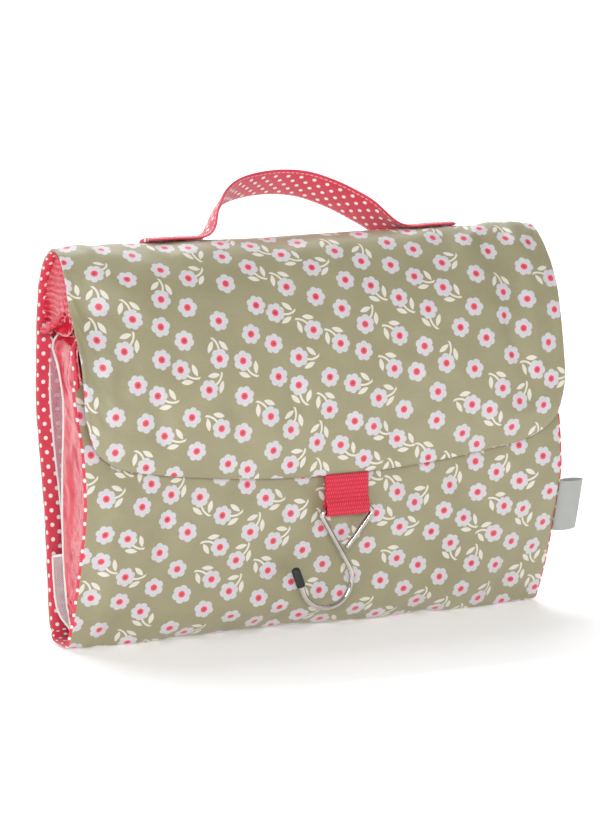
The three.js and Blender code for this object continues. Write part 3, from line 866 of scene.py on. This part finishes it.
def zip_parts(which, outline, at, inset, body):
    """Two woven tapes and a coil between them; the slider and its pull are the CAD's own."""
    span = HALF - inset
    middle = outline.length_at(at)
    for side, (low, high) in (("near", (-7.5, -1.6)), ("far", (1.6, 7.5))):
        def spot(a, b):
            x, s = -span + 2 * span * b, middle + low + (high - low) * a
            y, z = outline.at(s, -0.55 + 0.12 * wobble(x * 0.05, s * 0.3, 2))
            return (x, y, z), (x, s)

        obj = grid(f"{which}_zip_tape_{side}", spot, 4, 60, ZIP_TAPE, 0.5)
        attach(obj, body, "zip_tape", f"{which}_zip_tape_{side}")
    points, faces, uvs = [], [], []
    pitch = 1.5
    for k in range(int(2 * span / pitch)):
        x = -span + pitch * (k + 0.5)
        shift = 0.35 if k % 2 else -0.35
        base = len(points)
        for dx, level in ((-0.5, 0.3), (-0.38, 1.35), (0.38, 1.35), (0.5, 0.3)):
            for ds in (-1.5, -1.1, 1.1, 1.5):
                low = 0.45 if abs(ds) > 1.2 else 0.0
                y, z = outline.at(middle + ds + shift, -(level - low if level > 1 else level))
                points.append((x + dx, y, z))
                uvs.append((x + dx, ds))
        for i in range(3):
            for j in range(3):
                a = base + i * 4 + j
                faces.append((a, a + 4, a + 5, a + 1))
        faces.append((base, base + 1, base + 2, base + 3, base + 15, base + 14, base + 13, base + 12))
        faces.append((base, base + 12, base + 8, base + 4))
        faces.append((base + 3, base + 7, base + 11, base + 15))
    coil = build(f"{which}_zip_coil", points, faces, uvs, [CHAIN])
    attach(coil, body, "zip_chain", f"{which}_zip_chain")


def gusset_gathers(y, z):
    """Depth of the front gusset's small pleats, at its foot and half way up its front edge."""
    return 1.5 * (1 - smooth(18, 34, z)) + 1.1 * math.exp(-((z - 62) / 12) ** 2) * smooth(-20, -28, y)


def pouch_pleats(y, z):
    """Depth of the level pleats across the pouch's gathered end."""
    return 2.0 * smooth(160, 169, z + 0.35 * y)


# Front pocket
front_face = run_along(front, 0.1, 8.0, PANEL + 0.2)


def front_inside(share):
    """The inner face of the front panel at its end."""
    _, y, z = front_shape((HALF - 3.6, *front_face(share)))
    return Vector((y, z))


def front_gusset_x(y, z):
    """The front pocket's sides go in under the pouch at the top."""
    return HALF - 3.6 - 4.5 * smooth(148, 157, z)


outline_sheet("front_pocket_film", front_pocket, (0, 5.75), 5, 0.3, FILM, "front",
              ["front_pocket_window"], "clear_vinyl", 30, 0.7)
outline_sheet("front_pocket_top", front_pocket, (6.3, 7), 5, 0.3, VINYL, "front",
              ["front_pocket_header"], "pink_vinyl", 6, 0.2)
front_edge = run_along(front_pocket_side, 17, 0, 0.4)
for side, word in ((LEFT, "left"), (RIGHT, "right")):
    pocket_side(f"front_gusset_{word}", side, front_gusset_x, front_inside, front_edge, VINYL, "front",
                f"front_pocket_side_{word}", "pink_vinyl", 1.4, 110, 22, gusset_gathers, 3.0 + side)
    piping(f"front_pocket_piping_{word}", front_pocket_side, 0, 13, 0.3,
           lambda y, z: side * front_gusset_x(y, z), BINDING, "front")
    hem_line = Outline(EAR_EDGE)
    hem_spots = [hem_line.at(hem_line.total * k / 24) for k in range(25)]
    hem_path = [(side * (HALF - 1.2 - 5 * smooth(150, 158, z)), y, z) for y, z in hem_spots]
    hem = tube(f"front_gusset_hem_{word}", hem_path,
               1.45, DOTTED, 12, [0.6] + [1.0] * 23 + [0.6])
    attach(hem, "front", "dotted_cotton")
zip_parts("front", front_pocket, 6.05, 8, "front")

# Back pocket
back_inside = run_along(back_pocket_seam, 0, 6, 0.0)
back_edge = run_along(back_pocket_side, 0, 9, 0.4)
outline_sheet("back_pocket_film", back_pocket, (1.65, 7), 7, 0.3, FILM, "back",
              ["back_pocket_window"], "clear_vinyl", 26, 0.6, seed=6.0, side_line=back_pocket_side)
outline_sheet("back_pocket_top", back_pocket, (0, 1.05), 7, 0.3, VINYL, "back",
              ["back_pocket_header"], "pink_vinyl", 6, 0.2, seed=7.0, side_line=back_pocket_side)
for side, word in ((LEFT, "left"), (RIGHT, "right")):
    pocket_side(f"back_gusset_{word}", side, level_x(HALF - 6.6), back_inside, back_edge, FILM, "back",
                f"back_pocket_side_{word}", "clear_vinyl", 1.0, 60, 12, None, 13.0 + side)
    piping(f"back_pocket_piping_{word}", back_pocket_side, 0, 9, 0.3, level_x(side * (HALF - 6.8)), BINDING,
           "back", 0.62)
    piping(f"back_pocket_seam_{word}", back_pocket_seam, 0, 6, 0.0, level_x(side * (HALF - 6.4)), BINDING,
           "back", 0.6)
zip_parts("back", back_pocket, 1.35, 11, "back")

# Mesh pocket


def mesh_gusset_x(y, z):
    """The net's sides slant in from the end of the back panel."""
    return HALF - 2.2 - 3.2 * smooth(11, 1, y)


mesh_inside = run_along(mesh_seam, 0, 4, 0.0)
mesh_edge = run_along(mesh_side, 0, 4, 0.2)
outline_sheet("mesh_pocket_net", mesh_pocket, (0, 3), 5.6, 0.3, NET, "back",
              ["mesh_pocket_front"], "netting", 12, 0.5, seed=8.0)
for side, word in ((LEFT, "left"), (RIGHT, "right")):
    pocket_side(f"mesh_gusset_{word}", side, mesh_gusset_x, mesh_inside, mesh_edge, NET, "back",
                f"mesh_pocket_side_{word}", "netting", 0.4, 24, 8, None, 23.0 + side)
    piping(f"mesh_pocket_piping_{word}", mesh_side, 0, 4, 0.2, lambda y, z: side * mesh_gusset_x(y, z), BINDING,
           "back", 0.65)
    piping(f"mesh_pocket_seam_{word}", mesh_seam, 0, 4, 0.0, lambda y, z: side * mesh_gusset_x(y, z), BINDING,
           "back", 0.65)
    rim = [mesh_seam.at(0).lerp(mesh_side.at(0), k / 12) for k in range(13)]
    rim = [(side * mesh_gusset_x(y, z), y, z) for y, z in rim]
    hem = tube(f"mesh_pocket_side_hem_{word}", rim, 0.75, BINDING, 8)
    attach(hem, "back", "white_tape")


def binding_spot(a, b):
    x = -(HALF - 5.4) + 2 * (HALF - 5.4) * b
    y, z = mesh_pocket.at(-0.8 + 4.2 * a, -0.3 + 0.15 * wobble(x * 0.05, a, 4))
    return (x, y, z), (x, a * 4.2)


binding = grid("mesh_pocket_hem", binding_spot, 3, 48, BINDING, 1.3)
attach(binding, "back", "white_tape", "mesh_pocket_binding")


# Pouch under the ridge, gathered on its elastic
def pouch_spot(a, b):
    half = HALF - 5.5
    x, s = -half + 2 * half * b, pouch.total * a
    hold = smooth(0, 0.05, b) * smooth(0, 0.05, 1 - b)
    gather = math.exp(-a * 2.2)
    depth = 1.5 * gather * math.sin(x * 0.72 + 2.0 * wobble(x * 0.04, s * 0.03, 5)) * smooth(0, 0.04, 1 - a)
    depth += 1.6 * wobble(x * 0.03, s * 0.04, 6) * smooth(0, 0.3, a) * smooth(0, 0.15, 1 - a)
    y, z = pouch.at(s, 0.5 + depth * hold)
    return (x, y, z), (x, s)


pouch_sheet = grid("pouch_gathered", pouch_spot, 22, 220, VINYL, 0.35)
attach(pouch_sheet, "back", "pink_vinyl", "pouch_sheet")
pouch_line = [
    (x, *pouch.at(1.4, 0.9 + 0.5 * math.sin(x * 0.72)))
    for x in np.linspace(-(HALF - 5.5), HALF - 5.5, 180)
]
elastic = tube("pouch_elastic_cord", pouch_line, 1.0, BINDING, 8)
attach(elastic, "back", "white_tape", "pouch_elastic")
ridge_inside = run_along(strip, 11.0, 15.9, PANEL)
pouch_edge = run_along(pouch, 6, 0.1, 0.4)
for side, word in ((LEFT, "left"), (RIGHT, "right")):
    pocket_side(f"pouch_gusset_{word}", side, level_x(HALF - 3.6), ridge_inside, pouch_edge, VINYL, "back",
                f"pouch_side_{word}", "pink_vinyl", 1.0, 120, 26, pouch_pleats, 33.0 + side)
    start, end = Vector((side * (HALF - 1.2), 21, 155.5)), Vector((side * (HALF - 0.6), -11, 168.5))
    twist = []
    for k in range(61):
        f = k / 60
        bow = Vector((side * 1.4 * math.sin(math.pi * f), 0, -2.2 * math.sin(math.pi * f)))
        swirl = Vector((0.5 * math.cos(f * 17), 0, 0.5 * math.sin(f * 17)))
        twist.append(start.lerp(end, f) + bow + swirl)
    sizes = [
        0.55 + 0.6 * math.sin(math.pi * min(k / 60 * 1.15, 1)) + 0.22 * math.sin(k * 1.3)
        for k in range(61)
    ]
    rope = tube(f"pouch_twist_{word}", twist, 1.7, VINYL, 12, sizes)
    subdivide(rope, 1)
    attach(rope, "back", "pink_vinyl")

# ---------------------------------------------------------------- fasteners inside the flap


def patch(name, outline, ends, depth, body, node):
    low, high = (outline.length_at(t) for t in ends)

    def spot(a, b):
        x, s = HOOK_X - 22 + 44 * b, low + (high - low) * a
        y, z = outline.at(s, depth + 0.1 * wobble(x * 0.4, s * 0.4, 2))
        return (x, y, z), (x, s)

    obj = grid(name, spot, 8, 24, HOOK_TAPE, 0.7)
    attach(obj, body, "white_tape", node)


patch("flap_fastener", strip, (23.05, 24.05), PANEL + 0.5, "flap", "flap_fastener_patch")
patch("front_fastener", front, (1.85, 2.7), -0.75, "front", "front_fastener_patch")

# ---------------------------------------------------------------- label loop in the right-hand seam

label_up = Vector((0, -7.2, 26)).normalized()
label_back = label_up.cross(Vector((1, 0, 0)))
LABEL_REACH, LABEL_GAP, LABEL_HEIGHT = 13.8, 2.0, 28.0
label_foot = Vector((HALF - 0.2, -28.6, 41.4)) + label_up * LABEL_HEIGHT / 2


def label_stations():
    stations = []
    steps = 34
    for k in range(steps + 1):
        a = math.pi * (k / steps) - math.pi / 2
        out = LABEL_REACH * (math.cos(a) ** 0.55 if math.cos(a) > 1e-6 else 0.0)
        over = LABEL_GAP * math.sin(a) * (0.35 + 0.65 * math.sin(math.pi * out / LABEL_REACH) ** 0.5
                                        if 0 < out < LABEL_REACH else 0.35)
        stations.append(label_foot + Vector((out, 0, 0)) - label_back * over)
    result = []
    for i, spot in enumerate(stations):
        way = (stations[min(i + 1, steps)] - stations[max(i - 1, 0)]).normalized()
        result.append((spot, label_up, way.cross(label_up).normalized()))
    return result


label = ribbon("label_ribbon_loop", label_stations(), LABEL_HEIGHT / 2, 0.45, [RIBBON], 8)
attach(label, "front", "ribbon", "label_loop")

# ---------------------------------------------------------------- strap handle

HANDLE_X, LEAN, TAB_LEAN = 3.0, math.radians(38), math.radians(26)
lean_way = Vector((0, math.sin(LEAN), math.cos(LEAN)))
strap_foot = Vector((HANDLE_X, 8.9, 197.6))

raw = [tuple(strap_line.at(strap_line.total * k / 100)) for k in range(101)]
stations, bends = [], []
for i, (x, h) in enumerate(raw):
    before, after = raw[max(i - 1, 0)], raw[min(i + 1, len(raw) - 1)]
    run = Vector((after[0] - before[0], after[1] - before[1])).normalized()
    lean = TAB_LEAN + (LEAN - TAB_LEAN) * smooth(1.5, 14, h)
    up = Vector((0, math.sin(lean), math.cos(lean)))
    normal = Vector((-run.y, 0, 0)) + up * run.x
    wide = Vector((0, math.cos(lean), -math.sin(lean)))
    stations.append((strap_foot + Vector((x, 0, 0)) + lean_way * h, wide, normal))
    bends.append(3.0 * (1 - smooth(0.5, 12, h)) - 0.5 * smooth(4, 20, h))
handle = ribbon("handle_strap_cloth", stations, 11.0, 2.0, [DOTTED_STRAP], 10, bends)
subdivide(handle, 1)
apply_modifiers(handle)
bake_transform(handle)
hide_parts("handle_strap", "handle_tab_left", "handle_tab_right")

# ---------------------------------------------------------------- webbing loop and hook


def webbing_stations():
    """Down the front of the loop, round the hook's bar, and up behind."""
    layer, turn_radius = 0.62, WIRE + 0.35 + 0.55
    spots = [(WEBBING_Y - layer, z) for z in np.linspace(82.8, 72.5, 8)]
    for z in (70.5, 68.8, 67.2, 65.8):
        spots.append((WEBBING_Y - layer - (turn_radius - layer) * smooth(72, 66, z), z))
    for k in range(13):
        a = math.pi + math.pi * k / 12
        spots.append((WEBBING_Y + turn_radius * math.cos(a), BAR_Z + turn_radius * math.sin(a)))
    spots += [(2 * WEBBING_Y - y, z) for y, z in reversed(spots[:12])]
    result = []
    for i, (y, z) in enumerate(spots):
        before, after = spots[max(i - 1, 0)], spots[min(i + 1, len(spots) - 1)]
        way = Vector((0, after[0] - before[0], after[1] - before[1])).normalized()
        result.append((Vector((HOOK_X, y, z)), Vector((1, 0, 0)), way.cross(Vector((1, 0, 0)))))
    return result


webbing = ribbon("webbing_loop_woven", webbing_stations(), 11.6, 1.1, [WEBBING], 16)
attach(webbing, "webbing", "webbing", "webbing_loop")

BEND_X, BEND_Z, BEND_R, BEND_START, BEND_END = -3.6, 29.0, 14.0, 30.0, -160.0
CORNER_R, TIP = 2.0, 11.0


def heading(degrees):
    return Vector((math.cos(math.radians(degrees)), math.sin(math.radians(degrees))))


def round_corner(before, corner, after, steps=8):
    back, on = (before - corner).normalized(), (after - corner).normalized()
    half = back.angle(on) / 2
    middle = corner + (back + on).normalized() * (CORNER_R / math.sin(half))
    first = corner + back * (CORNER_R / math.tan(half)) - middle
    last = corner + on * (CORNER_R / math.tan(half)) - middle
    turn = math.pi - 2 * half
    spots = []
    for k in range(steps + 1):
        f = k / steps
        spots.append(middle + (first * math.sin(turn * (1 - f)) + last * math.sin(turn * f)) / math.sin(turn))
    return spots


def straight(a, b, steps):
    return [a.lerp(b, k / steps) for k in range(1, steps)]


bend_centre = Vector((BEND_X, BEND_Z))
leg_foot = bend_centre + heading(BEND_START) * BEND_R
leg_way = heading(BEND_START + 90)
left_corner = leg_foot + leg_way * ((BAR_Z - leg_foot.y) / leg_way.y)
free_end, right_corner = Vector((7.4, 44.6)), Vector((24.0, BAR_Z))
tip_foot, tip_way = bend_centre + heading(BEND_END) * BEND_R, heading(BEND_END - 90)
tip = tip_foot + tip_way * TIP
right_bend = round_corner(free_end, right_corner, left_corner)
left_bend = round_corner(right_corner, left_corner, leg_foot)
turns = [bend_centre + heading(BEND_START + (BEND_END - BEND_START) * k / 40) * BEND_R for k in range(41)]
wire_line = [free_end, *straight(free_end, right_bend[0], 10), *right_bend,
             *straight(right_bend[-1], left_bend[0], 10), *left_bend,
             *straight(left_bend[-1], leg_foot, 12), *turns, *straight(tip_foot, tip, 6), tip]
wire_path = [Vector((p.x, WEBBING_Y, p.y)) for p in wire_line]
wire_path = [wire_path[0] + (wire_path[0] - wire_path[1]).normalized() * 0.3] + wire_path
wire = tube("hook_bent_wire", wire_path, WIRE, STEEL, 20, [0.55, 0.9] + [1.0] * (len(wire_path) - 2))
attach(wire, "hook", "wire", "hook_wire")

cap_profile = [(-0.1, 1.5), (0.0, 2.0), (0.5, 2.25), (1.4, 2.3), (1.7, 2.2), (2.0, 2.3), (4, 2.32),
               (6.6, 2.3), (8.6, 2.22), (9.4, 2.05), (9.9, 1.65), (10.2, 1.2), (10.38, 0.6), (10.42, 0.1)]
cap_way = Vector((tip_way.x, 0, tip_way.y))
cap_foot = Vector((tip.x, WEBBING_Y, tip.y)) - cap_way * 8
cap = tube("hook_rubber_cap", [cap_foot + cap_way * h for h, _ in cap_profile], 1.0, RUBBER, 20,
           [r for _, r in cap_profile])
attach(cap, "hook", "cap", "hook_cap")

# ---------------------------------------------------------------- the CAD's own sliders and pulls

for which in ("front", "back"):
    for part, material in (("slider", CHROME), ("pull", PULL)):
        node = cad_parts[f"{which}_zip_{part}"]
        for place in node.material_slots:
            place.link = "OBJECT"
            place.material = material

# ---------------------------------------------------------------- floor, light and camera


def floor():
    size = 4.0
    mesh = bpy.data.meshes.new("studio_floor")
    rows = [(-size, 0), (size * 0.6, 0)]
    bend = [(size * 0.6 + math.sin(a) * 0.8, 0.8 - math.cos(a) * 0.8) for a in np.linspace(0.1, math.pi / 2, 12)]
    rows += bend + [(size * 0.6 + 0.8, 4.0)]
    points = [(x, y, z) for y, z in rows for x in (-size, size)]
    mesh.from_pydata(points, [], [(2 * i, 2 * i + 1, 2 * i + 3, 2 * i + 2) for i in range(len(rows) - 1)])
    for polygon in mesh.polygons:
        polygon.use_smooth = True
    material = bpy.data.materials.new("pale_floor")
    material.use_nodes = True
    shader = material.node_tree.nodes["Principled BSDF"]
    shader.inputs["Base Color"].default_value = (0.93, 0.93, 0.93, 1)
    shader.inputs["Roughness"].default_value = 0.7
    shader.inputs["Emission Color"].default_value = (1, 1, 1, 1)
    shader.inputs["Emission Strength"].default_value = 0.24
    mesh.materials.append(material)
    obj = bpy.data.objects.new("studio_floor", mesh)
    bpy.context.scene.collection.objects.link(obj)


floor()


def area_light(name, place, aim, size, power):
    data = bpy.data.lights.new(name, "AREA")
    data.shape = "RECTANGLE"
    data.size, data.size_y = size
    data.energy = power
    obj = bpy.data.objects.new(name, data)
    obj.location = place
    obj.rotation_euler = (Vector(aim) - Vector(place)).to_track_quat("-Z", "Y").to_euler()
    bpy.context.scene.collection.objects.link(obj)


area_light("key", (-0.8, -1.75, 0.7), (-0.03, 0, 0.13), (0.8, 0.5), 19)
area_light("fill", (1.3, -1.3, 0.8), (0, 0, 0.1), (1.2, 1.2), 2)
area_light("side", (-1.6, -0.1, 0.5), (0, 0, 0.1), (0.8, 0.6), 3)
area_light("top", (0, 0.9, 1.9), (0, 0, 0), (1.8, 1.2), 20)
area_light("wall", (0, 1.4, 2.6), (0, 3.2, 1.2), (3.0, 1.0), 70)

world = bpy.data.worlds.new("studio")
world.use_nodes = True
world.node_tree.nodes["Background"].inputs[0].default_value = (1, 1, 1, 1)
world.node_tree.nodes["Background"].inputs[1].default_value = 0.34
bpy.context.scene.world = world
bpy.context.scene.view_settings.view_transform = "Standard"

camera_data = bpy.data.cameras.new("camera")
camera_data.sensor_fit = "VERTICAL"
camera_data.sensor_height = 36
camera_data.lens = 154.1223
camera = bpy.data.objects.new("camera", camera_data)
camera.location = Vector((-784.166, -1609.147, 402.627)) * MM
target = Vector((0.667, 0, 105.824)) * MM
camera.rotation_euler = (target - camera.location).to_track_quat("-Z", "Y").to_euler()
bpy.context.scene.collection.objects.link(camera)
bpy.context.scene.camera = camera
